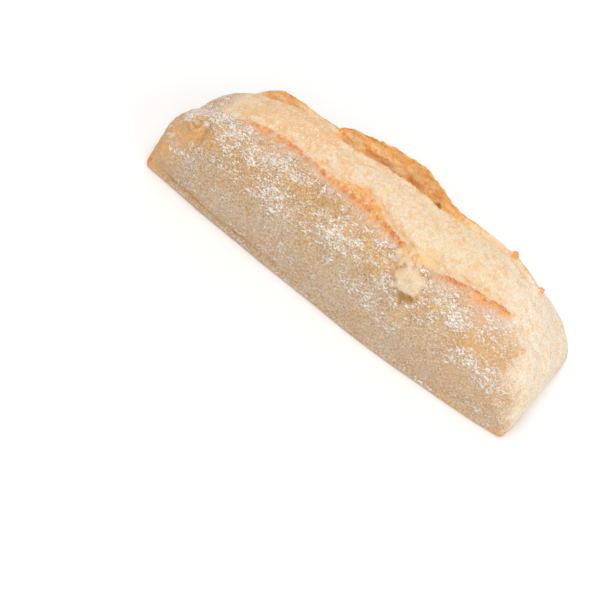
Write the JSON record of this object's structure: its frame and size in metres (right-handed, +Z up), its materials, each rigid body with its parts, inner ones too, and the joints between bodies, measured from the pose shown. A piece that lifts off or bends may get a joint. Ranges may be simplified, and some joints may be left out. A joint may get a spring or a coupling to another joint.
{
  "type": "baguette",
  "caption": "Short rustic baguette with a flat base, pillow-like ends, a floured crust and a lengthwise opening with raised crust edges.",
  "frame": {"origin": "on the flat base, in the middle of the loaf's box", "axes": "+X along the loaf, +Y across it, away from its more open floured side, +Z up from the flat base"},
  "size_m": [0.2244, 0.0748, 0.0605],
  "materials": {
    "crust": "matt, flour-dusted baked crust, browned at the raised edges and pale where the crumb shows"
  },
  "bodies": {
    "root": {"loaf": "crust"}
  },
  "joints": []
}
